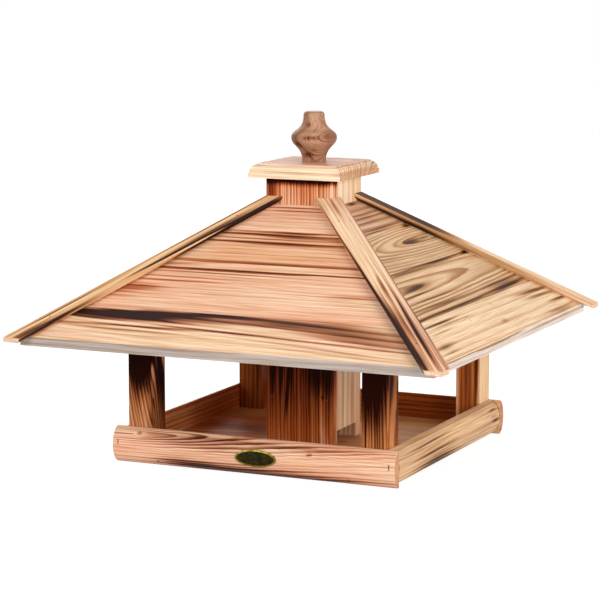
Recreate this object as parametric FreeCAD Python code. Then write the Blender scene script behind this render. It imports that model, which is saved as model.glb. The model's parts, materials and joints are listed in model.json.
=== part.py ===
import FreeCAD, Part
import math
import os

# A square bird table: tray, four posts, hipped plank roof, and a seed silo whose lid lifts off.
# Millimetres. The origin is on the ground at the tray's centre, +Z is up and the front faces -Y.

# Tray
tray_side = 325.0
rail_height = 39.0
rail_thickness = 13.0
floor_thickness = 11.0

# Posts
post_side = 29.0
post_arris = 0.8

# Seed silo
silo_side = 78.0
silo_board = 13.0
silo_arris = 0.6
seed_slot_height = 15.0
chimney_height = 28.5

# Roof planks
eave_reach = 232.5
eave_height = 142.6
roof_pitch = 33.7
plank_thickness = 8.0
eave_plank_cover = 56.0
plank_cover = 64.5
top_plank_cover = 47.4
seam_bevel = 1.6
tongue_length = 4.0
tongue_thickness = 2.8

# Hip rafters
rafter_width = 22.0
rafter_depth = 26.0
rafter_setback = 14.0
rafter_seat_notch = 5.0

# Hip caps
cap_reach = 14.5
cap_rise = 7.4
cap_flange_thickness = 4.6
cap_bearing_width = 9.5
cap_overhang = 13.0

# Lid
lid_side = 108.0
lid_thickness = 15.2
lid_lip_height = 5.3
lid_lip_step = 1.2
lid_ovolo_reach = 5.0
lid_top_step = 1.0
lid_top_step_height = 1.6
lid_ovolo_bulge = 1.5
block_depth = 12.0
block_lead = 1.5

# Knob
knob_height = 54.0
knob_foot_dia = 25.6
knob_belly_dia = 49.4
knob_belly_height = 26.0
knob_shoulder_dia = 23.0
knob_shoulder_height = 49.0
knob_top_dia = 14.0
knob_foot_pull = 17.0
knob_under_pull = 10.0
knob_over_pull = 8.7
knob_neck_pull = 16.0

# Oval plate on the front rail
plate_length = 47.0
plate_height = 18.5
plate_thickness = 0.6
plate_rim_width = 1.8
plate_rim_thickness = 0.4
plate_offset = 6.5
plate_pin_inset = 3.4

# Clearances
fixing_clearance = 0.05
tongue_clearance = 0.2
joint_gap = 0.15
block_clearance = 1.0

# Fixings: length, shank diameter, head diameter, head height, depth of the head below the wood
plank_nail = (20.0, 1.4, 3.0, 0.8, 0.3)
cap_brad = (22.0, 1.2, 1.6, 0.8, 0.2)
silo_brad = (28.0, 1.2, 1.6, 0.8, 0.2)
floor_pin = (26.0, 1.2, 1.8, 0.8, 0.3)
plate_pin = (10.0, 1.0, 2.0, 0.7, -0.7)
floor_screw = (35.0, 3.5, 7.0, 3.0, 0.6)
rafter_screw = (50.0, 3.5, 7.0, 3.0, 4.5)
knob_screw = (45.0, 4.0, 7.5, 3.2, 0.5)
plank_nail_inset = 6.0
plank_nail_low_share = 0.35
plank_nail_high_share = 0.65
cap_brad_spread = 6.5
cap_brad_inset = 28.0
floor_pin_spacing = 110.0
silo_brad_count = 3
silo_brad_inset = 35.0
silo_screw_inset = 17.0
head_rim_share = 0.35
hole_mouth = 1.0

# Staples at the ends of the front and back rails
staple_crown = 6.0
staple_leg = 18.0
staple_wire_width = 1.2
staple_wire_thickness = 0.6
staple_sink = 0.15
staple_rise = 3.5

# Places worked out from the sizes above
pitch = math.radians(roof_pitch)
tray_half = tray_side / 2
inner_half = tray_half - rail_thickness
silo_half = silo_side / 2
silo_inner = silo_half - silo_board
post_centre = inner_half - post_side / 2
plank_drop = plank_thickness / math.cos(pitch)
hip_slope = math.atan(math.tan(pitch) / math.sqrt(2))
section_angle = math.acos(math.cos(pitch) / math.cos(hip_slope))
silo_reach = silo_half + joint_gap
roof_at_silo = eave_height + (eave_reach - silo_half) * math.tan(pitch)
silo_top = roof_at_silo + chimney_height
slope_length = (eave_reach - silo_reach) / math.cos(pitch)
rafter_drop = rafter_depth / math.cos(hip_slope)
post_top = (eave_height + (eave_reach - post_centre) * math.tan(pitch)
            - plank_drop - rafter_drop + rafter_seat_notch)
far = 3 * eave_reach
tolerance = 0.001


def vec(x, y, z):
    return FreeCAD.Vector(x, y, z)


def box(low, high):
    size = [b - a for a, b in zip(low, high)]
    return Part.makeBox(size[0], size[1], size[2], vec(*low))


def prism(points, direction):
    """A closed outline of points, pushed along a direction."""
    return Part.Face(Part.makePolygon(points + points[:1])).extrude(direction)


def turned(shape, quarter):
    """A copy turned about the table's upright axis by quarter turns."""
    copy = shape.copy()
    copy.rotate(vec(0, 0, 0), vec(0, 0, 1), 90 * quarter)
    return copy


def turn_point(point, quarter):
    return FreeCAD.Rotation(vec(0, 0, 1), 90 * quarter).multVec(point)


def upright(edge):
    """Whether an edge runs straight up."""
    low, high = edge.Vertexes[0].Point, edge.Vertexes[-1].Point
    return math.hypot(high.x - low.x, high.y - low.y) < tolerance


def save(name, solids):
    shape = solids[0] if len(solids) == 1 else Part.makeCompound(solids)
    shape.exportStep("parts/" + name + ".step")
    valid = all(s.isValid() for s in solids)
    print(name, len(shape.Solids), "solids, volume %.0f" % shape.Volume, "valid" if valid else "NOT VALID")


# Fixings

def fixing(kind, point, outward, grow=0.0, reach=0.0):
    """A nail, brad or screw driven in at a point; grown by the clearance, it is its own hole."""
    length, shank_dia, head_dia, head_height, sink = kind
    shank = shank_dia / 2 + grow
    head = head_dia / 2 + grow
    rim = -head_rim_share * head_height
    outline = [vec(0, 0, reach), vec(head, 0, reach), vec(head, 0, rim), vec(shank, 0, -head_height)]
    outline += [vec(shank, 0, shank_dia - length), vec(0, 0, -length - grow)]
    solid = Part.Face(Part.makePolygon(outline + outline[:1])).revolve(vec(0, 0, 0), vec(0, 0, 1), 360)
    turn = FreeCAD.Rotation(vec(0, 0, 1), outward)
    solid.Placement = FreeCAD.Placement(point - outward * sink, turn)
    return solid


def fixings(kind, places):
    return [fixing(kind, point, outward) for point, outward in places]


def bored(wood, kind, places):
    """The wood with a hole for each fixing that reaches it."""
    for point, outward in places:
        hole = fixing(kind, point, outward, fixing_clearance, abs(kind[4]) + hole_mouth)
        if wood.BoundBox.intersect(hole.BoundBox):
            wood = wood.cut(hole)
    return wood


# Tray rails and floor

def rail_face(grow=0.0):
    """The D-shaped end of a rail lying along X at the front, grown outward for what wraps it."""
    out = rail_thickness + grow
    rise = rail_height / 2 + grow
    centre = vec(0, -inner_half, rail_height / 2)
    nose = centre - vec(0, out, 0)
    top = centre + vec(0, 0, rise)
    if rise >= out:
        curve = Part.ArcOfEllipse(Part.Ellipse(top, nose, centre), 0, math.pi)
    else:
        curve = Part.ArcOfEllipse(Part.Ellipse(nose, top, centre), -math.pi / 2, math.pi / 2)
    round_edge = curve.toShape()
    ends = [v.Point for v in round_edge.Vertexes]
    return Part.Face(Part.Wire([round_edge, Part.makeLine(ends[1], ends[0])]))


def rail(half_length):
    face = rail_face()
    face.translate(vec(-half_length, 0, 0))
    return face.extrude(vec(2 * half_length, 0, 0))


staple_centre = tray_half - rail_thickness / 2
staple_height = rail_height / 2 + staple_rise


def staple(side, grow=0.0):
    """An upright staple through the front rail into the end of a side rail."""
    x = side * staple_centre
    half_width = staple_wire_width / 2 + grow
    half_crown = staple_crown / 2 + grow
    front = -tray_half + staple_sink
    mouth = front - (hole_mouth if grow else 0.0)
    back = front + staple_leg
    crown = box((x - half_width, mouth, staple_height - half_crown),
                (x + half_width, front + staple_wire_thickness + grow, staple_height + half_crown))
    inner = half_crown - staple_wire_thickness - 2 * grow
    legs = [box((x - half_width, mouth, staple_height + low), (x + half_width, back, staple_height + high))
            for low, high in ((-half_crown, -inner), (inner, half_crown))]
    return crown.fuse(legs).removeSplitter()


staple_holes = [turned(staple(side, fixing_clearance), turn) for side in (-1, 1) for turn in (0, 2)]
staples = [turned(staple(side), turn) for side in (-1, 1) for turn in (0, 2)]

floor_pins = []
for quarter in range(4):
    for step in (-1, 0, 1):
        height = floor_thickness / 2
        lean = 1 - (1 - 2 * height / rail_height) ** 2
        surface = -inner_half - rail_thickness * math.sqrt(lean)
        place = turn_point(vec(step * floor_pin_spacing, surface, height), quarter)
        floor_pins.append((place, turn_point(vec(0, -1, 0), quarter)))

floor_screws = []
for sx in (-1, 1):
    for sy in (-1, 1):
        floor_screws.append((vec(sx * post_centre, sy * post_centre, 0), vec(0, 0, -1)))
        board_middle = silo_half - silo_board / 2
        spread = silo_half - silo_screw_inset
        floor_screws.append((vec(sx * spread, sy * board_middle, 0), vec(0, 0, -1)))

plate_pins = []
for side in (-1, 1):
    at = plate_offset + side * (plate_length / 2 - plate_pin_inset)
    skin = -tray_half - plate_thickness
    plate_pins.append((vec(at, skin, rail_height / 2), vec(0, -1, 0)))


def make_tray():
    names = ("front", "right", "back", "left")
    for quarter, name in enumerate(names):
        half_length = tray_half if quarter % 2 == 0 else inner_half
        wood = turned(rail(half_length), quarter)
        for hole in staple_holes:
            if wood.BoundBox.intersect(hole.BoundBox):
                wood = wood.cut(hole)
        wood = bored(wood, floor_pin, floor_pins)
        if name == "front":
            wood = bored(wood, plate_pin, plate_pins)
        save("tray_rail_" + name, [wood])
    floor = box((-inner_half, -inner_half, 0), (inner_half, inner_half, floor_thickness))
    floor = bored(floor, floor_pin, floor_pins)
    floor = bored(floor, floor_screw, floor_screws)
    save("tray_floor", [floor])
    save("rail_staples", staples)
    save("floor_pins", fixings(floor_pin, floor_pins))
    save("floor_screws", fixings(floor_screw, floor_screws))


def oval(length, height, front, depth):
    """An upright oval pushed along Y through the middle of the front rail's face."""
    centre = vec(plate_offset, front, rail_height / 2)
    ellipse = Part.Ellipse(centre + vec(length / 2, 0, 0), centre + vec(0, 0, height / 2), centre)
    return Part.Face(Part.Wire([ellipse.toShape()])).extrude(vec(0, depth, 0))


def wrapped(grow):
    face = rail_face(grow)
    face.translate(vec(plate_offset - plate_length, 0, 0))
    return face.extrude(vec(2 * plate_length, 0, 0))


def make_plate():
    """A thin oval plate bent over the rail's round face, with a raised rim."""
    front = -tray_half - rail_thickness
    depth = 2 * rail_thickness
    sheet = oval(plate_length, plate_height, front, depth).common(wrapped(plate_thickness))
    border = oval(plate_length, plate_height, front, depth)
    border = border.cut(oval(plate_length - 2 * plate_rim_width, plate_height - 2 * plate_rim_width, front, depth))
    rim = border.common(wrapped(plate_thickness + plate_rim_thickness))
    plate = sheet.fuse(rim).removeSplitter().cut(wrapped(0))
    plate = bored(plate, plate_pin, plate_pins)
    save("oval_plate", plate.Solids)
    save("plate_pins", fixings(plate_pin, plate_pins))


# Roof geometry

def slope_point(along, up, depth):
    """A point of the front roof face: along the eave, up the slope, and down into the planks."""
    y = -eave_reach + up * math.cos(pitch) + depth * math.sin(pitch)
    z = eave_height + up * math.sin(pitch) - depth * math.cos(pitch)
    return vec(along, y, z)


def hip_axes():
    """The front right hip: its foot, its direction uphill, sideways, and square up from it."""
    foot = vec(eave_reach, -eave_reach, eave_height)
    uphill = vec(-1, 1, math.tan(pitch)).normalize()
    sideways = vec(1, 1, 0).normalize()
    upward = sideways.cross(uphill)
    return foot, uphill, sideways, upward


def hip_bar(section):
    """A bar of one section along the front right hip, long enough to be cut at both ends."""
    foot, uphill, sideways, upward = hip_axes()
    start = foot - uphill * eave_reach / 2
    points = [start + sideways * s + upward * u for s, u in section]
    return prism(points, uphill * far)


def rows():
    """Lower and upper limit of each row of planks, up the slope: the middle rows share what is left."""
    middle = slope_length - eave_plank_cover - top_plank_cover
    count = max(1, round(middle / plank_cover))
    limits = [0.0] + [eave_plank_cover + middle * step / count for step in range(count + 1)]
    return list(zip(limits, limits[1:] + [slope_length]))


plank_nails = []
for low, high in rows():
    for side, share in ((-1, plank_nail_low_share), (1, plank_nail_high_share)):
        up = low + (high - low) * share
        limit = eave_reach - up * math.cos(pitch)
        inset = plank_nail_inset * math.sqrt(1 + math.cos(pitch) ** 2)
        head = slope_point(side * (limit - inset), up, 0)
        outward = vec(0, -math.sin(pitch), math.cos(pitch))
        for quarter in range(4):
            plank_nails.append((turn_point(head, quarter), turn_point(outward, quarter)))

rafter_screws = []
for quarter in range(4):
    ridge = eave_height + (eave_reach - post_centre) * math.tan(pitch) - plank_drop
    rafter_screws.append((turn_point(vec(post_centre, -post_centre, ridge), quarter), vec(0, 0, 1)))

cap_brads = []
for up in (cap_brad_inset, slope_length - cap_brad_inset):
    for flange in (-1, 1):
        foot, uphill, sideways, upward = hip_axes()
        along = up * math.sqrt(1 + math.cos(pitch) ** 2)
        rise = cap_rise / math.cos(section_angle)
        lift = rise - cap_brad_spread * math.tan(section_angle)
        head = foot + uphill * along + sideways * flange * cap_brad_spread + upward * lift
        outward = upward * math.cos(section_angle) + sideways * flange * math.sin(section_angle)
        for quarter in range(4):
            cap_brads.append((turn_point(head, quarter), turn_point(outward, quarter)))


def plank(low, high, first, last):
    """One plank of the front face, as long as the face, before its ends are mitred."""
    thick = plank_thickness
    rake = thick * math.tan(pitch)
    middle = thick / 2
    tongue = tongue_thickness / 2
    slot = tongue + tongue_clearance
    if first:
        edge = [(0, 0), (-rake, thick)]
    else:
        deep = low + tongue_length + tongue_clearance
        edge = [(low + seam_bevel, 0), (low, seam_bevel), (low, middle - slot), (deep, middle - slot)]
        edge += [(deep, middle + slot), (low, middle + slot), (low, thick)]
    if last:
        edge += [(high - rake, thick), (high, 0)]
    else:
        tip = high + tongue_length
        edge += [(high, thick), (high, middle + tongue), (tip, middle + tongue), (tip, middle - tongue)]
        edge += [(high, middle - tongue), (high, seam_bevel), (high - seam_bevel, 0)]
    points = [slope_point(-far, up, depth) for up, depth in edge]
    return prism(points, vec(2 * far, 0, 0))


def roof_wedge():
    """The upright wedge of space between two hips, in front of the middle."""
    tip = vec(0, -joint_gap, 0)
    points = [tip, tip + vec(-far, -far, 0), tip + vec(far, -far, 0)]
    return prism(points, vec(0, 0, far))


def make_planks():
    wedge = roof_wedge()
    spans = rows()
    for row, (low, high) in enumerate(spans):
        wood = plank(low, high, row == 0, row == len(spans) - 1).common(wedge)
        for quarter, name in enumerate(("front", "right", "back", "left")):
            piece = bored(turned(wood, quarter), plank_nail, plank_nails)
            piece = bored(piece, cap_brad, cap_brads)
            save("plank_%s_%d" % (name, row + 1), [piece])
    save("plank_nails", fixings(plank_nail, plank_nails))


hip_names = ("front_right", "back_right", "back_left", "front_left")
silo_core = box((-silo_reach, -silo_reach, 0), (silo_reach, silo_reach, far))


def make_rafters():
    """Bars with a ridged back under the planks, notched over the posts and round the silo.

    Their tails are cut level with the lowest edge of the planks."""
    half = rafter_width / 2
    fall = half * math.tan(section_angle)
    ridge = -plank_drop * math.cos(hip_slope)
    base = ridge - rafter_depth
    section = [(0, ridge), (half, ridge - fall), (half, base), (-half, base), (-half, ridge - fall)]
    reach = eave_reach - rafter_setback
    wood = hip_bar(section).common(box((0, -reach, 0), (reach, 0, far))).cut(silo_core)
    low = inner_half - post_side
    wood = wood.cut(box((low, -inner_half, 0), (inner_half, -low, post_top)))
    wood = wood.cut(box((0, -far, 0), (far, 0, eave_height - plank_drop)))
    wood = bored(wood, rafter_screw, rafter_screws)
    for quarter, name in enumerate(hip_names):
        piece = bored(turned(wood, quarter), plank_nail, plank_nails)
        piece = bored(piece, cap_brad, cap_brads)
        save("rafter_" + name, [piece])
    save("rafter_screws", fixings(rafter_screw, rafter_screws))


def make_caps():
    """Angle mouldings over the hips, raised on a narrower core that stops at the eave."""
    slant = math.tan(section_angle)
    across = math.sin(section_angle)
    down = math.cos(section_angle)
    top = cap_rise / down
    back = (cap_rise - cap_flange_thickness) / down
    edge = (cap_reach, top - cap_reach * slant)
    under = (edge[0] - cap_flange_thickness * across, edge[1] - cap_flange_thickness * down)
    inner = (cap_bearing_width, back - cap_bearing_width * slant)
    rebate = cap_rise - cap_flange_thickness
    foot = (inner[0] - rebate * across, inner[1] - rebate * down)
    angle = [(0, top), edge, under, (0, back), (-under[0], under[1]), (-edge[0], edge[1])]
    core = [(0, back), inner, foot, (0, 0), (-foot[0], foot[1]), (-inner[0], inner[1])]
    reach = eave_reach + cap_overhang
    wood = hip_bar(angle).common(box((0, -reach, 0), (reach, 0, far)))
    wood = wood.fuse(hip_bar(core).common(box((0, -eave_reach, 0), (eave_reach, 0, far))))
    wood = wood.removeSplitter().cut(silo_core)
    for quarter, name in enumerate(hip_names):
        save("hip_cap_" + name, [bored(turned(wood, quarter), cap_brad, cap_brads)])
    save("cap_brads", fixings(cap_brad, cap_brads))


# Posts and silo

def make_posts():
    low = inner_half - post_side
    post = box((low, -inner_half, floor_thickness), (inner_half, -low, post_top))
    post = post.makeFillet(post_arris, [e for e in post.Edges if upright(e)])
    post = bored(post, rafter_screw, rafter_screws)
    for quarter, name in enumerate(hip_names):
        save("post_" + name, [bored(turned(post, quarter), floor_screw, floor_screws)])


silo_brads = []
lowest_brad = floor_thickness + seed_slot_height + silo_brad_inset
highest_brad = silo_top - silo_brad_inset
for step in range(silo_brad_count):
    height = lowest_brad + (highest_brad - lowest_brad) * step / (silo_brad_count - 1)
    for sx in (-1, 1):
        for sy in (-1, 1):
            x = sx * (silo_half - silo_board / 2)
            silo_brads.append((vec(x, sy * silo_half, height), vec(0, sy, 0)))


def make_silo():
    """Two full-width boards stand on the floor; two between them stop above the seed slots."""
    wide = box((-silo_half, -silo_half, floor_thickness), (silo_half, -silo_inner, silo_top))
    outer = [e for e in wide.Edges if upright(e) and e.CenterOfMass.y < -silo_half + tolerance]
    wide = wide.makeFillet(silo_arris, outer)
    narrow = box((silo_inner, -silo_inner, floor_thickness + seed_slot_height),
                 (silo_half, silo_inner, silo_top))
    boards = (("front", turned(wide, 0)), ("back", turned(wide, 2)), ("right", turned(narrow, 0)),
              ("left", turned(narrow, 2)))
    for name, board in boards:
        board = bored(board, silo_brad, silo_brads)
        save("silo_board_" + name, [bored(board, floor_screw, floor_screws)])
    save("silo_brads", fixings(silo_brad, silo_brads))


# Lid

knob_screws = [(vec(0, 0, silo_top - block_depth), vec(0, 0, -1))]


def lid_board():
    """A square board whose moulded edge is mitred at the corners."""
    half = lid_side / 2
    base = silo_top
    lip = half - lid_lip_step
    crest = lip - lid_ovolo_reach
    top = crest - lid_top_step
    shelf = base + lid_lip_height
    step = base + lid_thickness - lid_top_step_height
    crown = base + lid_thickness
    chord = vec(crest - lip, 0, step - shelf)
    swell = vec(chord.z, 0, -chord.x).normalize() * lid_ovolo_bulge

    def side(sign):
        low = vec(sign * lip, 0, shelf)
        high = vec(sign * crest, 0, step)
        middle = vec(sign * ((lip + crest) / 2 + swell.x), 0, (shelf + step) / 2 + swell.z)
        return low, high, middle

    low, high, middle = side(1)
    low_left, high_left, middle_left = side(-1)
    edges = [Part.makeLine(vec(-half, 0, base), vec(half, 0, base)),
             Part.makeLine(vec(half, 0, base), vec(half, 0, shelf)),
             Part.makeLine(vec(half, 0, shelf), low),
             Part.Arc(low, middle, high).toShape(),
             Part.makeLine(high, vec(top, 0, step)),
             Part.makeLine(vec(top, 0, step), vec(top, 0, crown)),
             Part.makeLine(vec(top, 0, crown), vec(-top, 0, crown)),
             Part.makeLine(vec(-top, 0, crown), vec(-top, 0, step)),
             Part.makeLine(vec(-top, 0, step), high_left),
             Part.Arc(high_left, middle_left, low_left).toShape(),
             Part.makeLine(low_left, vec(-half, 0, shelf)),
             Part.makeLine(vec(-half, 0, shelf), vec(-half, 0, base))]
    face = Part.Face(Part.Wire(edges))
    face.translate(vec(0, -lid_side, 0))
    bar = face.extrude(vec(0, 2 * lid_side, 0))
    return bar.common(turned(bar, 1))


def knob():
    """A turned knob: two curves meet upright at the foot, the belly and the shoulder."""
    base = silo_top + lid_thickness
    foot = vec(knob_foot_dia / 2, 0, base)
    belly = vec(knob_belly_dia / 2, 0, base + knob_belly_height)
    shoulder = vec(knob_shoulder_dia / 2, 0, base + knob_shoulder_height)
    top = vec(knob_top_dia / 2, 0, base + knob_height)
    under = Part.BezierCurve()
    under.setPoles([foot, foot + vec(0, 0, knob_foot_pull), belly - vec(0, 0, knob_under_pull), belly])
    over = Part.BezierCurve()
    over.setPoles([belly, belly + vec(0, 0, knob_over_pull), shoulder - vec(0, 0, knob_neck_pull), shoulder])
    crown = Part.BezierCurve()
    crown.setPoles([shoulder, vec(shoulder.x, 0, top.z), top])
    axis_low = vec(0, 0, base)
    axis_top = vec(0, 0, top.z)
    edges = [Part.makeLine(axis_low, foot), under.toShape(), over.toShape(), crown.toShape(),
             Part.makeLine(top, axis_top), Part.makeLine(axis_top, axis_low)]
    return Part.Face(Part.Wire(edges)).revolve(axis_low, vec(0, 0, 1), 360)


def make_lid():
    half = silo_inner - block_clearance
    block = box((-half, -half, silo_top - block_depth), (half, half, silo_top))
    foot = [e for e in block.Edges if e.CenterOfMass.z < silo_top - block_depth + tolerance]
    block = block.makeChamfer(block_lead, foot)
    save("lid_board", [bored(lid_board(), knob_screw, knob_screws)])
    save("lid_block", [bored(block, knob_screw, knob_screws)])
    save("lid_knob", [bored(knob(), knob_screw, knob_screws)])
    save("knob_screw", fixings(knob_screw, knob_screws))


os.makedirs("parts", exist_ok=True)
make_tray()
make_plate()
make_posts()
make_silo()
make_rafters()
make_planks()
make_caps()
make_lid()
print("post top %.1f, silo top %.1f, rows %s" % (post_top, silo_top, [round(v, 1) for v, _ in rows()]))
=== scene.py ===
import json
import math
import random

import bmesh
import bpy
from mathutils import Matrix, Vector

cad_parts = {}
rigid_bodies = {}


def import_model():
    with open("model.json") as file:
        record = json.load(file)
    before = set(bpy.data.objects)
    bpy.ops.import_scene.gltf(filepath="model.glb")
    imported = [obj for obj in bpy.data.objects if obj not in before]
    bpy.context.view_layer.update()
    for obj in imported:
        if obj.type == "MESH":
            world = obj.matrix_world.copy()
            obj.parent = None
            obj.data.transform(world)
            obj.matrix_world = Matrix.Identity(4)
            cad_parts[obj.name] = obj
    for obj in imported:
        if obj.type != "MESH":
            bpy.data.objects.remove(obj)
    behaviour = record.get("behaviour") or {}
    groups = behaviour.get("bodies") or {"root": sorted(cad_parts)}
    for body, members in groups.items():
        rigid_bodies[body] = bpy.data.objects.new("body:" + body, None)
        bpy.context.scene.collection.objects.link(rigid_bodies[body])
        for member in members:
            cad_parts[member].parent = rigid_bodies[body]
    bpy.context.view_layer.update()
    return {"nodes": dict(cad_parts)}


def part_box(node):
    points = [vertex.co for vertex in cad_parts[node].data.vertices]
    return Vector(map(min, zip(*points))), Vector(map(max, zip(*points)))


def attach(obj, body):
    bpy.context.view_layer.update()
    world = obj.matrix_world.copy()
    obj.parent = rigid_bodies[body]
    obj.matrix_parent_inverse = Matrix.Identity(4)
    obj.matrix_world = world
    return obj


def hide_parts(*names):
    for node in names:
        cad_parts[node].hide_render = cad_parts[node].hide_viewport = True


for leftover in list(bpy.data.objects):
    bpy.data.objects.remove(leftover)
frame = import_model()


# Tray rails: four pine mouldings with a round outer face, pinned round the edge of the floor.
# They are planed and sawn square, torched so that the rings turn dark, and oiled to a satin.
# Front and back run the full width and are stapled into the ends of the two side rails.

mm = 0.001
skyward = Vector((0, 0, 1))
faces = ("front", "right", "back", "left")
outward = dict(zip(faces, (Vector((0, -1, 0)), Vector((1, 0, 0)), Vector((0, 1, 0)), Vector((-1, 0, 0)))))


def tone(red, green, blue):
    """A colour named in display values from 0 to 255, as the shaders want it."""
    shares = [value / 255 for value in (red, green, blue)]
    return [s / 12.92 if s <= 0.04045 else ((s + 0.055) / 1.055) ** 2.4 for s in shares] + [1.0]


class Wire:
    """A socket of a material that a number, a colour or a vector comes out of."""

    def __init__(self, tree, socket=None):
        self.tree = tree
        self.socket = socket

    def node(self, kind, settings=None, inputs=None, output=0):
        """Adds a node: first its settings, then the values and wires of its sockets."""
        made = self.tree.nodes.new("ShaderNode" + kind)
        for key, value in (settings or {}).items():
            if key == "stops":
                ramp = made.color_ramp.elements
                while len(ramp) < len(value):
                    ramp.new(0.5)
                for stop, (place, colour) in zip(ramp, value):
                    stop.position = place
                    stop.color = colour
            else:
                setattr(made, key, value)
        for key, value in (inputs or {}).items():
            if isinstance(value, Wire):
                self.tree.links.new(value.socket, made.inputs[key])
            else:
                made.inputs[key].default_value = value
        return Wire(self.tree, made.outputs[output] if made.outputs else None)

    def math(self, operation, *others):
        return self.node("Math", {"operation": operation}, dict(enumerate((self, *others))))

    def vector(self, operation, *others, output=0):
        return self.node("VectorMath", {"operation": operation}, dict(enumerate((self, *others))), output)

    def mix(self, first, second, blend="MIX"):
        """Two colours, blended by this share."""
        settings = {"data_type": "RGBA", "blend_type": blend}
        return self.node("Mix", settings, {0: self, 6: first, 7: second}, 2)

    def times(self, colour):
        """This colour, darkened or tinted by another."""
        settings = {"data_type": "RGBA", "blend_type": "MULTIPLY"}
        return self.node("Mix", settings, {0: 1.0, 6: self, 7: colour}, 2)

    def rise(self, low, high):
        """Goes smoothly from 0 to 1 while the value goes from low to high."""
        return self.node("MapRange", {"interpolation_type": "SMOOTHSTEP"}, {0: self, 1: low, 2: high})

    def parts(self):
        return [self.node("SeparateXYZ", {}, {0: self}, axis) for axis in range(3)]

    def drawn_out(self, along, across, seed, detail=2.0, output="Fac"):
        """Noise in streaks of one length and width, along the first axis of this vector."""
        sizes = (1 / along, 1 / across, 1 / across)
        place = self.vector("MULTIPLY_ADD", sizes, (seed * 7.31, seed * 3.17, seed * 5.71))
        return self.node("TexNoise", {}, {"Vector": place, "Scale": 1.0, "Detail": detail}, output)

    def bell(self):
        """1 where the value is 0, falling off smoothly to nothing at about 2 on either side."""
        return (self * self * -1.0).math("EXPONENT")

    def __add__(self, other):
        return self.math("ADD", other)

    def __sub__(self, other):
        return self.math("SUBTRACT", other)

    def __rsub__(self, other):
        return self.node("Math", {"operation": "SUBTRACT"}, {0: other, 1: self})

    def __mul__(self, other):
        return self.math("MULTIPLY", other)

    def __truediv__(self, other):
        return self.math("DIVIDE", other)

    def __pow__(self, other):
        return self.math("POWER", other)

    __radd__ = __add__
    __rmul__ = __mul__


def new_material(name):
    """An empty material, and the wire that its nodes start from."""
    material = bpy.data.materials.new(name)
    material.use_nodes = True
    material.node_tree.nodes.clear()
    return material, Wire(material.node_tree)


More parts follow.
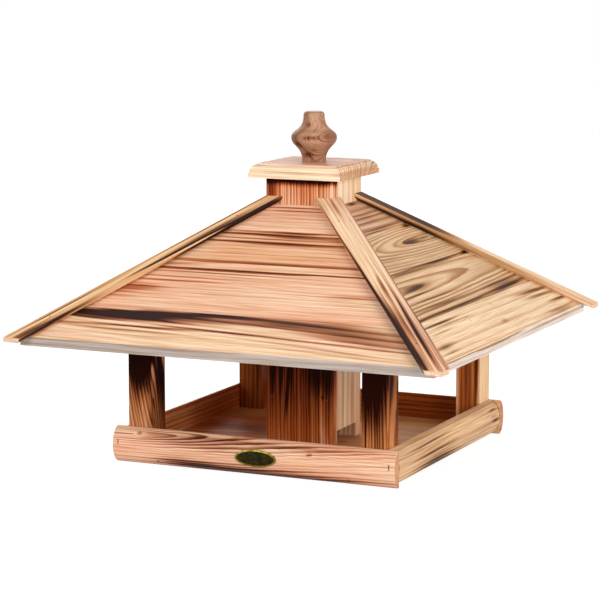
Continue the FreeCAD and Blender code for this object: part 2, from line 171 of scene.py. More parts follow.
def torched_pine(name, lie, look, rings, heat, scorch_and_shade_marks=(), knots=(), seed=1.0, lines=1.15, gloss=0.2):
    """Pine cut from a log whose heart lies where rings says, then darkened by a torch.

    lie is the board's origin, its grain and the way its face looks. Lengths are millimetres along
    the grain, across the face and out of it. look is the plain wood, its warmer streaks and the
    tint that light scorching gives. rings is where the heart lies across and out of the face, how
    both change along the board, and the width of a ring. heat is the even darkening and how patchy
    it is: scorching, and on the rails' inner faces partly painted shade. A mark is a darkened line
    or patch: its middle along and across, half length, half width, strength and slope. Most marks
    are scorching, and some are painted shade and painted shadow, as said where they are listed. One
    of negative strength is a place that the torch spared. A knot is its middle and radius. lines is
    how much darker the rings char than the soft wood between them, and gloss is how much light the
    oil throws back."""
    origin, grain, out = lie
    pale, warm, toast = look
    heart_across, heart_out, lean_across, lean_out, ring_width = rings
    even, patchy = heat
    material, start = new_material(name)
    turn = Matrix((grain, out.cross(grain), out)).transposed().to_euler()
    place = start.node("TexCoord", output="Object")
    board = start.node("Mapping", {"vector_type": "TEXTURE"},
                       {"Vector": place, "Location": origin, "Rotation": turn, "Scale": (mm, mm, mm)})

    # the grain wanders slowly and ripples finely, and parts round each knot
    wander = (0.0, 7.0, 7.0)
    ripple = (0.0, 1.5, 1.5)
    half = (0.5, 0.5, 0.5)
    drift = board.drawn_out(260, 85, seed, 1.0, "Color").vector("SUBTRACT", half)
    bent = drift.vector("MULTIPLY_ADD", wander, board)
    shiver = board.drawn_out(42, 11, seed + 1, 2.0, "Color").vector("SUBTRACT", half)
    bent = shiver.vector("MULTIPLY_ADD", ripple, bent)
    nears = []
    for knot_along, knot_across, radius in knots:
        off = bent.vector("SUBTRACT", (knot_along, knot_across, 0.0))
        off = off.vector("MULTIPLY", (0.62 / radius, 1 / radius, 0.0))
        near = off.vector("LENGTH", output=1)
        push = (near * 0.4).bell() * (-0.85 * radius)
        shift = start.node("VectorMath", {"operation": "SCALE"}, {0: off, 3: push})
        bent = shift.vector("MULTIPLY_ADD", (0.0, 1.0, 0.0), bent)
        nears.append(near)

    # yearly rings round the heart: soft pale wood that ends in a hard dark line
    along, across, depth = bent.parts()
    side = across - along * lean_across - heart_across
    deep = depth - along * lean_out - heart_out
    radius = (side * side + deep * deep) ** 0.5
    growth = start.node("TexNoise", {"noise_dimensions": "1D"},
                        {"W": radius * (0.4 / ring_width) + seed, "Scale": 1.0, "Detail": 1.0})
    years = radius / ring_width + growth * 1.3
    year = years.math("FLOOR")
    vigour = start.node("TexWhiteNoise", {"noise_dimensions": "1D"}, {"W": year + seed})
    age = years - year
    late = age.rise(0.3, 0.88) * (1 - age.rise(0.9, 1.0)) * (vigour * 0.6 + 0.4)

    # the torch: streaks that follow the rings and wide patches, then the listed marks
    flow = start.node("CombineXYZ", {}, {0: along * (1 / 150), 1: radius * (1 / 8), 2: seed})
    streak = start.node("TexNoise", {}, {"Vector": flow, "Scale": 1.0, "Detail": 3.0}).rise(0.3, 0.7)
    patch = board.drawn_out(170, 34, seed + 2).rise(0.3, 0.7)
    scorch_and_shade = (streak + patch - 0.9) * patchy + even
    flat_along, flat_across, _ = board.parts()
    ragged = (streak - 0.5) * 0.7
    # the marks darken the wood where they are listed: most stand for scorching, and some are painted shade
    # and painted shadow
    for mark_along, mark_across, half_length, half_width, strength, slope in scorch_and_shade_marks:
        reach = flat_along - mark_along
        spread = (flat_across - reach * slope - mark_across) * (1 / half_width) + ragged
        scorch_and_shade = scorch_and_shade + (reach * (1 / half_length)).bell() * spread.bell() * strength
    for near in nears:
        inside = 1 - near.rise(0.8, 1.15)
        scorch_and_shade = scorch_and_shade + inside * 0.25 + ((near - 1.0) * 2.2).bell() * 0.25
    scorch_and_shade = scorch_and_shade.math("MAXIMUM", 0.0)
    char_and_shade = scorch_and_shade * (late * lines + scorch_and_shade * 0.5 + 0.12)

    # colours: two woods in streaks, amber late wood, fine fibres, and the scorching and painted shade over
    # all
    amber = tone(214, 160, 112)
    fibre_shade = tone(226, 205, 186)
    end_shade = tone(225, 205, 185)
    unburnt = (1, 1, 1, 1)
    brown = [part * share for part, share in zip(toast, (0.56, 0.47, 0.42, 1))]
    umber = [part * share for part, share in zip(toast, (0.2, 0.14, 0.11, 1))]
    char = tone(40, 15, 6)
    stops = ((0.04, unburnt), (0.22, toast), (0.41, brown), (0.62, umber), (1.0, char))
    blotch = board.drawn_out(210, 26, seed + 3).rise(0.34, 0.66)
    fibre = board.drawn_out(55, 0.9, seed + 4, 3.0)
    wood = blotch.mix(pale, warm)
    wood = (late * 0.5).mix(wood, amber, "MULTIPLY")
    wood = fibre.rise(0.62, 0.3).mix(wood, fibre_shade, "MULTIPLY")
    scorched = wood.times(char_and_shade.node("ValToRGB", {"stops": stops}, {0: char_and_shade * (fibre * 0.9 + 0.3)}))
    facing = start.node("TexCoord", output="Normal").vector("DOT_PRODUCT", grain, output=1)
    sawn = facing.math("ABSOLUTE").rise(0.7, 0.9)
    colour = sawn.mix(scorched, scorched.times(end_shade))

    # burnt wood is duller, and the soft wood between the rings lies a little deeper
    roughness = char_and_shade.rise(0.0, 1.2) * 0.14 + fibre * 0.1 + 0.44
    relief = late * 0.7 + fibre * 0.5 - char_and_shade.rise(0.3, 1.0) * 0.4
    grain_depth = 0.16 * mm
    normal = start.node("Bump", {}, {"Height": relief, "Strength": 1.0, "Distance": grain_depth})
    surface = start.node("BsdfPrincipled", {}, {"Base Color": colour, "Roughness": roughness,
                                                "Specular IOR Level": gloss, "Normal": normal})
    start.node("OutputMaterial", {}, {"Surface": surface})
    return material


def eased(node, arris, ends=False):
    """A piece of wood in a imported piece's place: the same shape, with its sharp edges rounded over.

    Rims of nail holes are short edges, so they stay sharp. With ends, short edges on the sawn ends
    are rounded too."""
    weld = 0.001 * mm
    flat = math.radians(0.5)
    sharp = math.radians(25)
    crisp = math.radians(40)
    shortest = 4 * mm
    low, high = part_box(node)
    worked = bmesh.new()
    worked.from_mesh(frame["nodes"][node].data)
    bmesh.ops.remove_doubles(worked, verts=worked.verts, dist=weld)
    bmesh.ops.dissolve_limit(worked, angle_limit=flat, verts=worked.verts, edges=worked.edges)

    def on_end(edge):
        return all(min(abs(v.co.x - low.x), abs(v.co.x - high.x)) < weld for v in edge.verts)

    edges = [edge for edge in worked.edges
             if edge.is_convex and edge.calc_face_angle(0) > sharp
             and (edge.calc_length() > shortest or (ends and on_end(edge)))]
    if arris:
        bmesh.ops.bevel(worked, geom=edges, offset=arris, segments=3, profile=0.5, affect="EDGES",
                        clamp_overlap=not ends)
    mesh = bpy.data.meshes.new(node + "_worked")
    worked.to_mesh(mesh)
    worked.free()
    mesh.shade_smooth()
    mesh.set_sharp_from_angle(angle=crisp)
    piece = bpy.data.objects.new(node + "_worked", mesh)
    bpy.context.scene.collection.objects.link(piece)
    piece.modifiers.new("even_shading", "WEIGHTED_NORMAL").keep_sharp = True
    return piece


def fit(piece, node, finish, body="table"):
    """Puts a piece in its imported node's place, with its finish."""
    piece.data.materials.clear()
    piece.data.materials.append(finish)
    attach(piece, body)
    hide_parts(node)


def sawn_faces(piece, finish, ways, share=0.9):
    """Gives the faces that look these ways, such as saw cuts, their own finish.

    share is how closely they have to look that way, as a cosine."""
    piece.data.materials.append(finish)
    for face in piece.data.polygons:
        if max(face.normal.dot(way) for way in ways) > share:
            face.material_index = 1


# The plain woods, and the tints that light scorching gives them
cream = tone(250, 220, 182)
straw = tone(244, 208, 160)
peach = tone(250, 214, 182)
salmon = tone(247, 197, 165)
orange = tone(238, 184, 142)
tan = tone(224, 188, 146)
olive = tone(206, 172, 130)
rose_toast = tone(204, 168, 150)
fawn_toast = tone(212, 164, 128)
umber_toast = tone(208, 184, 152)
ember_toast = tone(208, 142, 88)

rail_arris = 0.9 * mm
rail_looks = {
    "front": dict(
        look=(peach, salmon, rose_toast), rings=(31.5, -12, 0.0, -0.06, 2.3), heat=(0.06, 0.08),
        scorch_and_shade_marks=((-70, 31, 70, 7.0, 0.5, 0.0), (-20, 34.5, 60, 2.0, 0.4, 0.0),
                (-115, 34, 18, 3.0, 0.3, 0.0), (65, 33, 60, 2.6, 0.5, 0.02),
                (-72, 7.5, 34, 4.2, 0.85, -0.02), (-20, 5, 60, 4.5, 0.76, 0.0),
                (70, 4, 80, 4.0, 0.5, 0.0), (10, 0.5, 150, 2.5, 0.8, 0.0)),
        knots=((-132, 33, 1.4), (67, 28, 1.5)), seed=3, lines=1.6),
    "right": dict(
        look=(straw, tan, umber_toast), rings=(90, -30, 0.0, 0.02, 5.0), heat=(0.1, 0.2),
        scorch_and_shade_marks=((-35, 7, 58, 4.6, 1.1, 0.0), (0, 1, 150, 3.0, 0.8, 0.0), (-50, 31, 55, 1.1, 0.6, 0.02),
                (-45, 25, 50, 1.1, 0.5, 0.02), (-50, 20, 50, 1.3, 0.6, 0.02),
                (-30, 16, 50, 1.3, 0.5, 0.0), (132, 31, 12, 1.5, 0.7, 0.0), (136, 19, 10, 1.5, 0.7, 0.0),
                (132, 24, 12, 1.2, 0.5, 0.0)),
        seed=8),
    "back": dict(
        look=(peach, orange, rose_toast), rings=(80, -10, 0.0, 0.02, 4.0), heat=(0.2, 0.15),
        scorch_and_shade_marks=((40, 36, 100, 3, 0.6, 0.0), (-60, 3, 90, 4, 0.9, 0.0), (80, 20, 60, 2, 0.4, 0.01)),
        knots=((60, 16, 2.2),), seed=13),
    "left": dict(
        look=(salmon, straw, umber_toast), rings=(90, -22, 0.0, -0.02, 4.5), heat=(0.16, 0.2),
        scorch_and_shade_marks=((-40, 34, 100, 2.5, 0.6, 0.0), (60, 4, 80, 4, 0.9, 0.0), (-70, 14, 60, 2, 0.4, -0.01)),
        seed=21),
}

# The faces inside the tray are browned all over, but for their ends behind the posts: partly scorching,
# and partly painted shade from the roof.
inner_look = (straw, tan, ember_toast)
inner_rings = (90, -22, 0, 0.02, 5.5)
# even darkening of each inner face: scorching and painted shade
inner_scorch_and_shade = {"front": 0.6, "right": 0.6, "back": 0.78, "left": 0.6}
pale_ends = ((-160, 20, 14, 60, -0.8, 0.0), (160, 20, 14, 60, -0.8, 0.0))

for name in faces:
    node = "tray_rail_" + name
    rail = eased(node, rail_arris, ends=name in ("front", "back"))
    reach = max(abs(corner.dot(outward[name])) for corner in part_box(node))
    lie = (outward[name] * reach, skyward.cross(outward[name]), outward[name])
    fit(rail, node, torched_pine("rail_pine_" + name, lie, **rail_looks[name]))
    inner_pine = torched_pine("rail_inner_pine_" + name, lie, inner_look, inner_rings,
                              (inner_scorch_and_shade[name], 0.15), pale_ends, seed=24, lines=0.25, gloss=0.08)
    sawn_faces(rail, inner_pine, [-outward[name]])


# Tray floor: one planed pine board inside the rails, left bare, and greyed by dust and seed husks.
# It is pinned through the rails, and screwed up into the posts and the silo's boards.

floor_arris = 0.4 * mm
floor_look = (tone(226, 178, 128), tone(210, 156, 108), tone(212, 160, 112))
floor_rings = (-60, -90, 0.03, 0.1, 5.5)
# painted shade: a wide darker patch on the floor's left, behind the middle
painted_shade_patch = ((-90, 20, 80, 110, 0.7, 0.0),)
floor = eased("tray_floor", floor_arris)
floor_lie = (Vector((0, 0, 0)), Vector((1, 0, 0)), skyward)
floor_pine = torched_pine("floor_pine", floor_lie, floor_look, floor_rings, (0.1, 0.2), painted_shade_patch,
                          seed=31, lines=0.2, gloss=0.05)
fit(floor, "tray_floor", floor_pine)


# Nails, brads, staples and screws: each sits in a hole of its own in the wood. The wire ones are
# drawn steel, a little tarnished, and darker on the floor's pins and the caps' brads.
# The screws are zinc plated, and lie hidden under the floor, the roof and the lid.

def refinish(node, finish):
    """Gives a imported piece, which keeps its own shape, its finish."""
    worn = frame["nodes"][node].data.materials
    worn.clear()
    worn.append(finish)


def drawn_metal(name, colour, dull, polish, across):
    """Metal with fine draw marks, across millimetres wide, and a little tarnish in patches."""
    mark_depth = 0.02 * mm
    material, start = new_material(name)
    place = start.node("TexCoord", output="Object")
    spot = start.node("Mapping", {"vector_type": "TEXTURE"}, {"Vector": place, "Scale": (mm, mm, mm)})
    marks = spot.drawn_out(4, across, 1)
    tarnish = spot.drawn_out(3, 3, 2).rise(0.4, 0.65)
    shade = tarnish.mix(colour, dull)
    roughness = tarnish * 0.2 + marks * 0.15 + polish
    normal = start.node("Bump", {}, {"Height": marks, "Strength": 0.6, "Distance": mark_depth})
    surface = start.node("BsdfPrincipled", {}, {"Base Color": shade, "Metallic": 1.0,
                                                "Roughness": roughness, "Normal": normal})
    start.node("OutputMaterial", {}, {"Surface": surface})
    return material


wire_steel = drawn_metal("wire_steel", tone(150, 132, 112), tone(104, 78, 58), 0.38, 0.2)
blued_wire = drawn_metal("blued_wire", tone(96, 66, 48), tone(70, 46, 32), 0.5, 0.2)
zinc = drawn_metal("zinc_plate", tone(205, 195, 160), tone(160, 145, 110), 0.3, 0.3)
metals = {"rail_staples": wire_steel, "silo_brads": wire_steel, "plank_nails": wire_steel,
          "floor_pins": blued_wire, "cap_brads": blued_wire,
          "floor_screws": zinc, "rafter_screws": zinc, "knob_screw": zinc}
for node, metal in metals.items():
    refinish(node, metal)


# Oval plate: thin brass pressed over the front rail's round face, with a raised rim.
# Inside the rim it is stoved nearly black and left bare. A brass pin holds each end.

def rimmed_brass(name, middle_x, middle_z, half_width, half_height):
    """Old brass that is black inside an oval, which is given in millimetres."""
    material, start = new_material(name)
    place = start.node("TexCoord", output="Object")
    middle = (middle_x * mm, 0, middle_z * mm)
    spot = start.node("Mapping", {"vector_type": "TEXTURE"},
                      {"Vector": place, "Location": middle, "Scale": (mm, mm, mm)})
    x, _, z = spot.parts()
    reach = x * (1 / half_width)
    rise = z * (1 / half_height)
    inside = 1 - ((reach * reach + rise * rise) ** 0.5).rise(0.95, 1.02)
    tarnish = spot.drawn_out(5, 5, 2).rise(0.35, 0.65)
    brass = tarnish.mix(tone(136, 120, 54), tone(98, 84, 30))
    black = tarnish.mix(tone(26, 21, 0), tone(50, 42, 2))
    shade = inside.mix(brass, black)
    roughness = tarnish * 0.12 + inside * 0.14 + 0.34
    surface = start.node("BsdfPrincipled", {}, {"Base Color": shade, "Metallic": 1 - inside,
                                                "Specular IOR Level": 0.08, "Roughness": roughness})
    start.node("OutputMaterial", {}, {"Surface": surface})
    return material


plate_rim = 1.8
plate_low, plate_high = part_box("oval_plate")
plate_middle = (plate_low + plate_high) / 2 / mm
plate_half = (plate_high - plate_low) / 2 / mm
plate_brass = rimmed_brass("plate_brass", plate_middle.x, plate_middle.z, plate_half.x - plate_rim,
                           plate_half.z - plate_rim)
for node in ("oval_plate", "plate_pins"):
    refinish(node, plate_brass)


# Posts: four square pine sticks that stand on the floor in the tray's corners and carry the rafters.
# The torch has browned the back ones, and turned the front ones nearly black under the roof.

hips = {"front_right": (1, -1), "back_right": (1, 1), "back_left": (-1, 1), "front_left": (-1, -1)}
post_arris = 0.6 * mm
post_looks = {
    "front_right": dict(
        look=(tone(236, 176, 130), tone(224, 160, 112), umber_toast), rings=(60, -30, 0.02, 0.02, 2.8),
        heat=(0.5, 0.3),
        scorch_and_shade_marks=((148, 5, 62, 14, 3.4, 0.0),),
        seed=41, gloss=0.03),
    "front_left": dict(
        look=(tone(230, 176, 138), tone(212, 152, 112), umber_toast), rings=(-20, -8, 0.16, 0.1, 3.6),
        heat=(0.42, 0.25),
        scorch_and_shade_marks=((148, 0, 50, 17, 6.0, 0.0), (70, -15, 90, 5, 0.5, 0.0), (130, -15.5, 32, 2, -3.1, 0.0)),
        seed=47, lines=0.9, gloss=0.03),
    "back_right": dict(
        look=(cream, straw, ember_toast), rings=(50, -30, 0.0, 0.02, 4.2), heat=(0.06, 0.08),
        scorch_and_shade_marks=((90, 4, 160, 12, 0.85, 0.0), (90, -9.5, 160, 2.2, 1.0, 0.0)),
        seed=53, lines=0.3, gloss=0.08),
    "back_left": dict(
        look=(straw, tan, ember_toast), rings=(60, -26, 0.0, 0.02, 5.2), heat=(0.92, 0.25),
        seed=59, lines=0.3, gloss=0.05),
}
for name, (sx, sy) in hips.items():
    post = eased("post_" + name, post_arris)
    low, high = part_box("post_" + name)
    lie = (Vector(((low.x + high.x) / 2, low.y, 0)), skyward, outward["front"])
    fit(post, "post_" + name, torched_pine("post_pine_" + name, lie, **post_looks[name]))


# Seed silo: a square tube of four pine boards in the middle of the floor, up through the roof.
# The front and back boards overlap the other two, which stop short and leave the seed slots.
# Brads hold them together. The front one is browned by the torch and partly by painted shade, and the
# right one is pale.

silo_arris = 0.5 * mm
# On each board the wide mark low down darkens the part under the roof, partly as scorching and partly as
# painted shade.
silo_looks = {
    "front": dict(
        look=(peach, orange, ember_toast), rings=(-70, -30, 0.0, 0.0, 3.4), heat=(0.2, 0.14),
        # On the front board the mark at 300 up is partly char and partly the lid's painted shadow.
        scorch_and_shade_marks=((76, 0, 82, 90, 0.74, 0.0), (98, 31, 34, 2.6, 1.2, -0.03), (96, 21, 30, 2.0, 1.1, -0.03),
                (76, 13.5, 34, 1.6, 1.0, -0.07), (90, 8.5, 30, 1.0, 0.6, -0.03),
                (88, -24, 20, 14, 0.6, 0.0), (130, 0, 32, 60, 0.6, 0.0), (288, 33, 26, 7.5, 0.75, 0.0),
                (300, 0, 5, 90, 2.2, 0.0), (290, -8, 30, 34, 0.24, 0.0)),
        knots=((64, -29, 0.9),), seed=61, lines=0.55, gloss=0.05),
    "right": dict(
        look=(tone(255, 234, 204), cream, umber_toast), rings=(80, -30, 0.0, 0.0, 15.0), heat=(0.04, 0.06),
        scorch_and_shade_marks=((60, 0, 90, 80, 0.32, 0.0), (60, -12, 50, 1.0, 0.3, 0.0), (70, 8, 50, 0.8, 0.25, 0.0)),
        seed=67, lines=0.3),
    "back": dict(
        look=(peach, straw, rose_toast), rings=(10, -20, 0.0, 0.05, 7.0), heat=(0.12, 0.2),
        scorch_and_shade_marks=((70, 0, 95, 80, 0.3, 0.0),),
        seed=71, lines=0.5),
    "left": dict(
        look=(straw, tan, ember_toast), rings=(-50, -30, 0.02, 0.02, 4.4), heat=(0.3, 0.3),
        scorch_and_shade_marks=((70, 0, 95, 80, 0.3, 0.0),),
        seed=73),
}
silo_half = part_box("silo_board_right")[1].x
for name in faces:
    board = eased("silo_board_" + name, silo_arris)
    lie = (outward[name] * silo_half, skyward, outward[name])
    silo_pine = torched_pine("silo_pine_" + name, lie, **silo_looks[name])
    fit(board, "silo_board_" + name, silo_pine)


# Hip rafters: sawn pine bars under the hips, notched over the posts and butted to the silo.
# The planks are nailed to them. They are hidden from above and were never torched.

rafter_arris = 0.5 * mm
hip_climb = 0.667
for name, (sx, sy) in hips.items():
    rafter = eased("rafter_" + name, rafter_arris)
    run = Vector((-sx, -sy, hip_climb)).normalized()
    sideways = Vector((-sy, sx, 0)).normalized()
    lie = (Vector((0, 0, 0)), run, sideways)
    bare = torched_pine("rafter_pine_" + name, lie, (straw, tan, umber_toast), (30, -40, 0.0, 0.02, 4.5),
                        (0.05, 0.1), seed=80 + sx + 2 * sy)
    fit(rafter, "rafter_" + name, bare)


# Roof planks: four rows of tongued and grooved pine on each face, mitred under the hip caps.
# The torch has darkened them in streaks along the grain. The dark lines along the seams are partly
# scorching and partly painted shadow of the joints.
# Their lower edge at the eave is sawn plumb and was left raw, so it is grey and pale.

roof_pitch = math.radians(33.7)
plank_thickness = 8 * mm
eave_reach = -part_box("plank_front_1")[0].y
eave_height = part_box("plank_front_1")[0].z + plank_thickness / math.cos(roof_pitch)
plank_arris = 0.35 * mm

# Where each row starts and the last one ends, in millimetres up the slope
row_feet = (0.0, 56.0, 120.5, 185.0, 232.4)

# The two faces that show from the front, each row by row from the eave
# The long thin marks at a row's foot and head are partly scorching and partly painted shadow of the seams.
front_planks = (
    dict(
        look=(cream, peach, rose_toast), rings=(150, -25, -0.05, 0.0, 7.2), heat=(0.1, 0.12),
        scorch_and_shade_marks=((-150, 44, 56, 7.6, 1.8, 0.0), (-92, 46.5, 48, 5.0, 1.5, 0.02),
                (-96, 38.5, 50, 4.2, 0.65, 0.0), (-28, 51, 42, 2.2, 1.2, 0.0),
                (-28, 42, 60, 4.2, 0.5, 0.0), (40, 49, 110, 7.0, 0.7, -0.02),
                (132, 37, 80, 12.0, 0.72, -0.12), (-160, 53, 40, 0.8, -1.4, 0.0),
                (-120, 33.2, 80, 1.3, -0.5, 0.0), (-110, 27.6, 95, 1.9, 1.05, 0.0),
                (20, 27, 130, 1.6, 0.6, -0.05), (-110, 21, 90, 1.6, 0.55, -0.02),
                (110, 14, 100, 1.4, 0.5, -0.075), (-100, 14.5, 90, 1.4, 0.35, -0.02),
                (150, 5, 60, 1.4, 0.4, -0.06), (-110, 55.4, 100, 0.8, 1.1, 0.0),
                (90, 54.8, 100, 0.9, 0.6, 0.0)),
        seed=101, lines=0.5),
    dict(
        look=(peach, salmon, fawn_toast), rings=(200, -30, 0.0, 0.0, 5.6), heat=(0.08, 0.1),
        scorch_and_shade_marks=((-128, 88, 28, 6.0, 0.6, 0.02), (-50, 87, 60, 3.0, 0.3, 0.0),
                (115, 92, 40, 4.0, 0.45, 0.02), (-90, 101, 75, 1.6, 0.75, 0.0),
                (-70, 107, 110, 1.4, 0.65, 0.0), (-60, 112, 110, 1.1, 0.4, 0.0),
                (-60, 116, 110, 1.5, 0.6, 0.0), (-150, 72, 40, 1.5, 0.35, 0.0),
                (-155, 84, 36, 14, 0.24, 0.0)),
        seed=107, lines=0.6),
    dict(
        look=(peach, orange, fawn_toast), rings=(260, -30, 0.0, 0.0, 6.4), heat=(0.1, 0.12),
        scorch_and_shade_marks=((0, 180.5, 100, 2.6, 1.1, 0.0), (0, 168, 100, 2.6, 1.0, 0.0),
                (0, 173.5, 90, 1.6, 0.4, 0.0), (0, 135.5, 150, 2.8, 0.42, 0.0),
                (-95, 129, 50, 2.6, 0.5, 0.05), (0, 122.5, 150, 1.4, 0.8, 0.0),
                (0, 148, 120, 1.5, 0.15, 0.0)),
        seed=113),
    dict(
        look=(peach, salmon, fawn_toast), rings=(300, -30, 0.0, 0.0, 5.0), heat=(0.08, 0.1),
        scorch_and_shade_marks=((0, 187, 60, 1.5, 0.7, 0.0), (0, 211, 40, 1.4, 0.3, 0.0), (0, 217, 40, 1.2, 0.35, 0.0),
                (0, 222, 40, 1.2, 0.4, 0.0), (0, 227, 40, 1.4, 0.4, 0.0)),
        seed=119),
)
right_planks = (
    dict(
        look=(tone(255, 228, 192), cream, umber_toast), rings=(70, -20, 0.0, 0.0, 9.0), heat=(0.1, 0.12),
        scorch_and_shade_marks=((-125, 46, 45, 1.8, 1.0, 0.0), (-90, 42, 70, 1.4, 0.7, 0.0),
                (-135, 35, 40, 1.6, 0.65, 0.0), (-165, 16, 22, 7.0, 0.5, 0.0),
                (165, 5, 55, 3.0, 0.8, 0.0), (150, 42, 50, 2.4, 1.0, -0.03),
                (160, 33, 45, 2.4, 0.9, -0.03), (190, 20, 30, 2.0, 0.8, -0.03),
                (30, 24, 70, 14.0, 0.16, 0.0), (10, 53, 160, 1.2, 0.4, 0.0), (26, 44, 6, 2.4, 0.3, 0.0),
                (12, 20, 8, 3.0, 0.3, 0.0)),
        knots=((-55, 36, 1.8),), seed=127, lines=0.9),
    dict(
        look=(tone(250, 220, 182), tone(236, 204, 164), umber_toast), rings=(98, 8.2, 0.0, 0.055, 5.8),
        heat=(0.36, 0.12),
        scorch_and_shade_marks=((-80, 98, 42, 5.0, 0.75, 0.0), (115, 59, 45, 2.0, 1.1, 0.0), (108, 65, 50, 6.0, 0.6, 0.0),
                (-30, 57.5, 130, 2.0, 0.7, 0.0), (-60, 78, 60, 1.4, 0.6, 0.0),
                (-60, 68, 80, 1.6, 0.6, 0.0), (-110, 88, 40, 1.4, 0.6, 0.0), (0, 119, 120, 1.0, 0.5, 0.0)),
        seed=131, lines=0.9),
    dict(
        look=(tone(244, 212, 172), tone(228, 196, 156), umber_toast), rings=(157.5, -6.5, 0.0, 0.1, 3.8),
        heat=(0.36, 0.12),
        scorch_and_shade_marks=((34, 158, 26, 3.6, 0.75, 0.0), (0, 122, 110, 1.4, 0.7, 0.0), (115, 121, 9, 3.0, 0.9, 0.0),
                (-20, 183, 40, 1.4, 0.6, 0.0), (62, 181, 9, 3.0, 0.9, 0.0)),
        seed=137, lines=0.9),
    dict(
        look=(tone(226, 188, 152), tone(214, 176, 138), rose_toast), rings=(120, -30, 0.0, 0.0, 7.5),
        heat=(0.17, 0.12),
        scorch_and_shade_marks=((6, 229, 10, 2.6, 0.7, 0.0), (0, 187, 60, 1.5, 0.7, 0.0), (-4, 204, 30, 8.0, 0.3, 0.0)),
        seed=139),
)


def chance_planks(seed):
    """Four rows of boards as they come off the pile, for the faces behind."""
    draw = random.Random(seed)
    looks = ((cream, straw), (peach, salmon), (peach, orange), (tan, straw), (tan, olive))
    streaks = 6
    eave_half_length = 232
    shortening = 0.83
    planks = []
    for foot, head in zip(row_feet, row_feet[1:]):
        reach = eave_half_length - foot * shortening
        scorch_and_shade_marks = []
        for _ in range(streaks):
            scorch_and_shade_marks.append((draw.uniform(-0.6, 0.6) * reach, draw.uniform(foot + 6, head - 4),
                           draw.uniform(40, 110), draw.uniform(1.2, 2.5), draw.uniform(0.3, 0.8),
                           draw.uniform(-0.04, 0.04)))
        patch = (draw.uniform(-0.6, 0.6) * reach, draw.uniform(foot + 9, head - 9))
        scorch_and_shade_marks.append((*patch, 45, 5.5, 0.5, 0.0))
        # a line along the seam at the foot: partly scorching, partly painted shadow of the joint
        seam = draw.uniform(-0.3, 0.3) * reach
        scorch_and_shade_marks.append((seam, foot + 2, reach * 0.8, 1.6, draw.uniform(0.6, 0.9), 0.0))
        band = draw.uniform(-0.8, 0.8) * reach
        scorch_and_shade_marks.append((band, head - 5, reach * 0.4, 3.6, draw.uniform(0.6, 1.2), 0.0))
        heart = (draw.choice((draw.uniform(foot, head), head + 60)), draw.uniform(-12, 4))
        rings = (*heart, 0.0, draw.uniform(0.03, 0.12), draw.uniform(4.5, 6.5))
        toast = draw.choice((rose_toast, umber_toast))
        planks.append(dict(look=(*draw.choice(looks), toast), rings=rings,
                           heat=(draw.uniform(0.08, 0.2), 0.12), scorch_and_shade_marks=scorch_and_shade_marks,
                           seed=draw.uniform(150, 400)))
    return planks


plank_looks = {"front": front_planks, "right": right_planks, "back": chance_planks(5),
               "left": chance_planks(9)}

# The sawn edge at the eave is grey, and nearly white on the right, most of all along its foot
raw_looks = {
    "front": dict(look=(tone(192, 182, 176), tone(178, 168, 161), umber_toast)),
    "right": dict(look=(tone(238, 228, 220), tone(222, 210, 200), umber_toast),
                  scorch_and_shade_marks=((0, -8.5, 300, 2.4, -0.6, 0.0), (0, -3, 400, 4.0, 0.3, 0.0))),
    "back": dict(look=(tone(198, 188, 180), tone(184, 174, 166), umber_toast)),
    "left": dict(look=(tone(198, 188, 180), tone(184, 174, 166), umber_toast)),
}
for name in faces:
    out = outward[name]
    face_up = out * math.sin(roof_pitch) + skyward * math.cos(roof_pitch)
    eave = out * eave_reach + skyward * eave_height
    lie = (eave, skyward.cross(out), face_up)
    raw = torched_pine("eave_edge_" + name, (eave, skyward.cross(out), out), seed=91,
                       rings=(40, -60, 0.01, 0.0, 5.0), heat=(0.05, 0.1), **raw_looks[name])
    for row, look in enumerate(plank_looks[name], 1):
        node = f"plank_{name}_{row}"
        plank = eased(node, plank_arris)
        fit(plank, node, torched_pine("plank_pine_" + node, lie, **look))
        if row == 1:
            sawn_faces(plank, raw, [out])


# Hip caps: angle mouldings of pine bradded over the hips, from the silo to just past the eaves.
# Long black lines run along their edges, partly left by the torch and partly painted shadow where the
# edges meet the planks, and the sawn feet are pale.

hip_slope = math.atan(math.tan(roof_pitch) / math.sqrt(2))
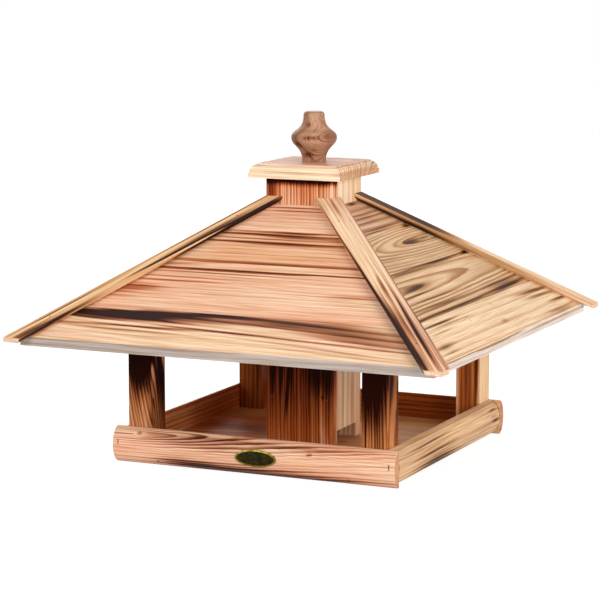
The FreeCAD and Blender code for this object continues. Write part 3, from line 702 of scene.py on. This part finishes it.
# Marks from 11.6 to 14.5 across, on either side, are partly painted shadow along and under the flanges'
# edges.
cap_looks = {
    "front_right": dict(
        look=(cream, peach, rose_toast), rings=(60, -30, 0.0, 0.02, 6.0), heat=(0.02, 0.09),
        scorch_and_shade_marks=((60, 13.4, 75, 2.4, 1.5, 0.0), (210, 14.2, 120, 1.3, 1.3, 0.0),
                (55, 0.7, 62, 1.7, 1.5, -0.026), (200, -0.5, 90, 0.7, 0.6, 0.0),
                (72, 7.5, 44, 5.0, 0.72, 0.0), (8, 10.5, 30, 3.4, 0.9, 0.0),
                (137, 4.5, 22, 3.0, 0.5, 0.0), (290, 3, 26, 4.0, 0.5, 0.0),
                (120, -13.8, 200, 1.1, 0.7, 0.0), (20, -8, 85, 8.0, 0.46, 0.0),
                (40, -7, 60, 1.0, 0.3, 0.0)),
        seed=151),
    "back_right": dict(
        look=(cream, peach, umber_toast), rings=(-60, -40, 0.0, 0.02, 6.0), heat=(0.1, 0.12),
        scorch_and_shade_marks=((285, 4, 70, 11, 1.15, 0.0), (215, 4, 42, 11, 0.95, 0.0),
                (130, 14.2, 120, 1.6, 0.62, 0.0), (115, 11.6, 60, 0.7, 0.8, 0.0),
                (115, 0, 34, 0.8, 0.5, 0.0), (285, 12.4, 55, 0.6, 1.0, 0.0)),
        seed=157, lines=0.6),
    "back_left": dict(
        look=(tan, straw, umber_toast), rings=(60, -40, 0.0, 0.02, 5.0), heat=(0.25, 0.25),
        scorch_and_shade_marks=((150, 13, 200, 3, 0.8, 0.0),),
        seed=163),
    "front_left": dict(
        look=(cream, straw, umber_toast), rings=(60, -30, 0.0, 0.0, 6.0), heat=(0.05, 0.12),
        scorch_and_shade_marks=((222, -12.2, 68, 1.3, 3.2, -0.024), (235, -7.5, 60, 3.2, 0.75, 0.0),
                (282, -14, 34, 1.8, 1.2, 0.0), (28, -14.4, 44, 1.9, 1.1, 0.0),
                (4, -9.5, 30, 3.2, 0.6, 0.0), (250, -1.2, 90, 0.9, 0.5, 0.0),
                (40, -3.6, 50, 0.9, 0.5, 0.0), (45, -8, 40, 0.9, 0.45, 0.0)),
        seed=167),
}
cut_end = (tone(244, 214, 190), tone(230, 192, 164), umber_toast)
cap_arris = 0.6 * mm
for name, (sx, sy) in hips.items():
    cap = eased("hip_cap_" + name, cap_arris)
    foot = Vector((sx * eave_reach, sy * eave_reach, eave_height))
    corner_out = Vector((sx, sy, 0)).normalized()
    run = (skyward * math.sin(hip_slope) - corner_out * math.cos(hip_slope)).normalized()
    square_up = corner_out * math.sin(hip_slope) + skyward * math.cos(hip_slope)
    lie = (foot, run, square_up)
    fit(cap, "hip_cap_" + name, torched_pine("cap_pine_" + name, lie, **cap_looks[name]))
    pale_end = torched_pine("cap_end_" + name, lie, cut_end, (0, -20, 0.0, 0.0, 3.0), (0.1, 0.1), seed=170)
    sawn_faces(cap, pale_end, (Vector((sx, 0, 0)), Vector((0, sy, 0))))


# Lid: a square pine board with a moulded edge, lightly torched on top and pale round the edge.
# Its darker top is partly painted shade, and its paler edge partly painted light.
# A block screwed under it drops into the silo, so that the lid can't slide off.

lid_arris = 0.5 * mm
block_arris = 0.3 * mm
lid = eased("lid_board", lid_arris)
lid_lie = (Vector((0, 0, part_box("lid_board")[1].z)), Vector((1, 0, 0)), skyward)
lid_top = (tone(230, 182, 156), tone(210, 164, 138), rose_toast)
lid_edge = (tone(255, 234, 204), tone(252, 224, 188), rose_toast)
# painted shadow lines along the moulding's steps, darker at the left end, and a mark that darkens the
# right end
painted_moulding_shade = ((0, -48.1, 90, 0.3, 0.5, 0.0), (0, -52.7, 90, 0.25, 0.5, 0.0),
              (-44, -48.4, 12, 0.8, 0.8, 0.0), (52, 0, 9, 60, 0.3, 0.0))
lid_pine = torched_pine("lid_pine", lid_lie, lid_top, (20, -60, 0.0, 0.05, 5.0), (0.14, 0.2),
                        seed=181, gloss=0.05)
fit(lid, "lid_board", lid_pine, "lid")
edge_pine = torched_pine("lid_edge_pine", lid_lie, lid_edge, (60, -60, 0.0, 0.0, 5.0), (0.06, 0.1),
                         painted_moulding_shade, seed=183, lines=0.7)
sawn_faces(lid, edge_pine, outward.values(), share=0.2)
block = eased("lid_block", block_arris)
block_pine = torched_pine("block_pine", lid_lie, (straw, tan, umber_toast), (0, -60, 0, 0.02, 5.0),
                          (0.05, 0.1), seed=187)
fit(block, "lid_block", block_pine, "lid")


# Knob: turned on a lathe from a darker, mottled wood, and polished a little.
# A screw from under the lid holds it. Its edges are as the lathe left them.

knob = eased("lid_knob", 0)
knob_lie = (Vector((0, 0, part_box("lid_knob")[0].z)), skyward, outward["front"])
knob_look = (tone(194, 154, 125), tone(162, 120, 96), tone(190, 156, 140))
knob_marks = ((27, -6, 3.0, 7, 0.8, 0.0), (20, 10, 3.0, 5, 0.5, 0.0), (40, 0, 3.0, 4, 0.5, 0.3),
              (8, 2, 3.0, 5, 0.6, 0.0), (35, -9, 4.0, 3, 0.5, 0.0), (14, -8, 2.5, 4, 0.5, 0.0))
knob_wood = torched_pine("knob_wood", knob_lie, knob_look, (12, -20, 0.5, 0.3, 1.7), (0.3, 0.6),
                         knob_marks, seed=191, lines=0.5, gloss=0.12)
fit(knob, "lid_knob", knob_wood, "lid")


# The picture: a plain white floor that keeps the table's shadow, in a white room, with wide soft
# lamps to the right, in front, above and behind. The camera stands to the right of the front and
# a little above the table, far off with a long lens.

floor_size = 9.0
floor_paint = 0.86
floor_glow = 1.52
floor_glow_share = 0.55
room_light = 0.42
ground = bpy.data.meshes.new("studio_floor")
far = floor_size / 2
ground.from_pydata([(-far, -far, 0), (far, -far, 0), (far, far, 0), (-far, far, 0)], [], [(0, 1, 2, 3)])
studio_floor = bpy.data.objects.new("studio_floor", ground)
bpy.context.scene.collection.objects.link(studio_floor)


def seen(start):
    """1 for the rays that show the background: straight, mirrored or through something clear."""
    return sum(start.node("LightPath", output=f"Is {kind} Ray")
               for kind in ("Camera", "Glossy", "Transmission"))


pure_white = (1.0, 1.0, 1.0, 1.0)
white, paint = new_material("white_floor")
matt = paint.node("BsdfDiffuse", {}, {"Color": (floor_paint, floor_paint, floor_paint, 1.0)})
glow = paint.node("Emission", {}, {"Color": pure_white, "Strength": floor_glow})
painted = paint.node("MixShader", {}, {0: seen(paint) * floor_glow_share, 1: matt, 2: glow})
paint.node("OutputMaterial", {}, {"Surface": painted})
ground.materials.append(white)

world = bpy.data.worlds.new("white_room")
bpy.context.scene.world = world
world.use_nodes = True
world.node_tree.nodes.clear()
air = Wire(world.node_tree)
plain = air.node("Background", {}, {"Color": pure_white, "Strength": room_light})
bright = air.node("Background", {}, {"Color": pure_white, "Strength": 1.0})
air.node("OutputWorld", {}, {"Surface": air.node("MixShader", {}, {0: seen(air), 1: plain, 2: bright})})


def lamp(name, place, aim, size, power):
    """A round soft lamp: size is its width in metres, and power is in watts."""
    data = bpy.data.lights.new(name, "AREA")
    data.shape = "DISK"
    data.size = size
    data.energy = power
    made = bpy.data.objects.new(name, data)
    made.location = place
    made.rotation_mode = "QUATERNION"
    made.rotation_quaternion = (aim - place).to_track_quat("-Z", "Y")
    bpy.context.scene.collection.objects.link(made)


table_middle = Vector((0, 0, 0.16))
lamp("right_lamp", Vector((2.41, -1.23, 0.86)), table_middle, 1.6, 46)
lamp("front_lamp", Vector((-0.84, -2.52, 1.06)), table_middle, 1.8, 29)
lamp("top_lamp", Vector((0.3, 0.4, 2.6)), table_middle, 1.8, 9)
lamp("back_lamp", Vector((-1.6, 2.2, 1.2)), table_middle, 1.8, 25)

camera_azimuth = math.radians(24.5)
camera_elevation = math.radians(8.6)
camera_distance = 2.680
camera_shift_left = 0.0152
camera_target = Vector((0, 0, 0.1634))
focal_length = 147.4
away = Vector((math.sin(camera_azimuth) * math.cos(camera_elevation),
               -math.cos(camera_azimuth) * math.cos(camera_elevation), math.sin(camera_elevation)))
rightward = Vector((math.cos(camera_azimuth), math.sin(camera_azimuth), 0))
camera = bpy.data.objects.new("camera", bpy.data.cameras.new("camera"))
camera.data.sensor_width = 36
camera.data.lens = focal_length
camera.location = camera_target + away * camera_distance - rightward * camera_shift_left
camera.rotation_mode = "QUATERNION"
camera.rotation_quaternion = (-away).to_track_quat("-Z", "Y")
bpy.context.scene.collection.objects.link(camera)
bpy.context.scene.camera = camera
bpy.context.scene.view_settings.view_transform = "Standard"
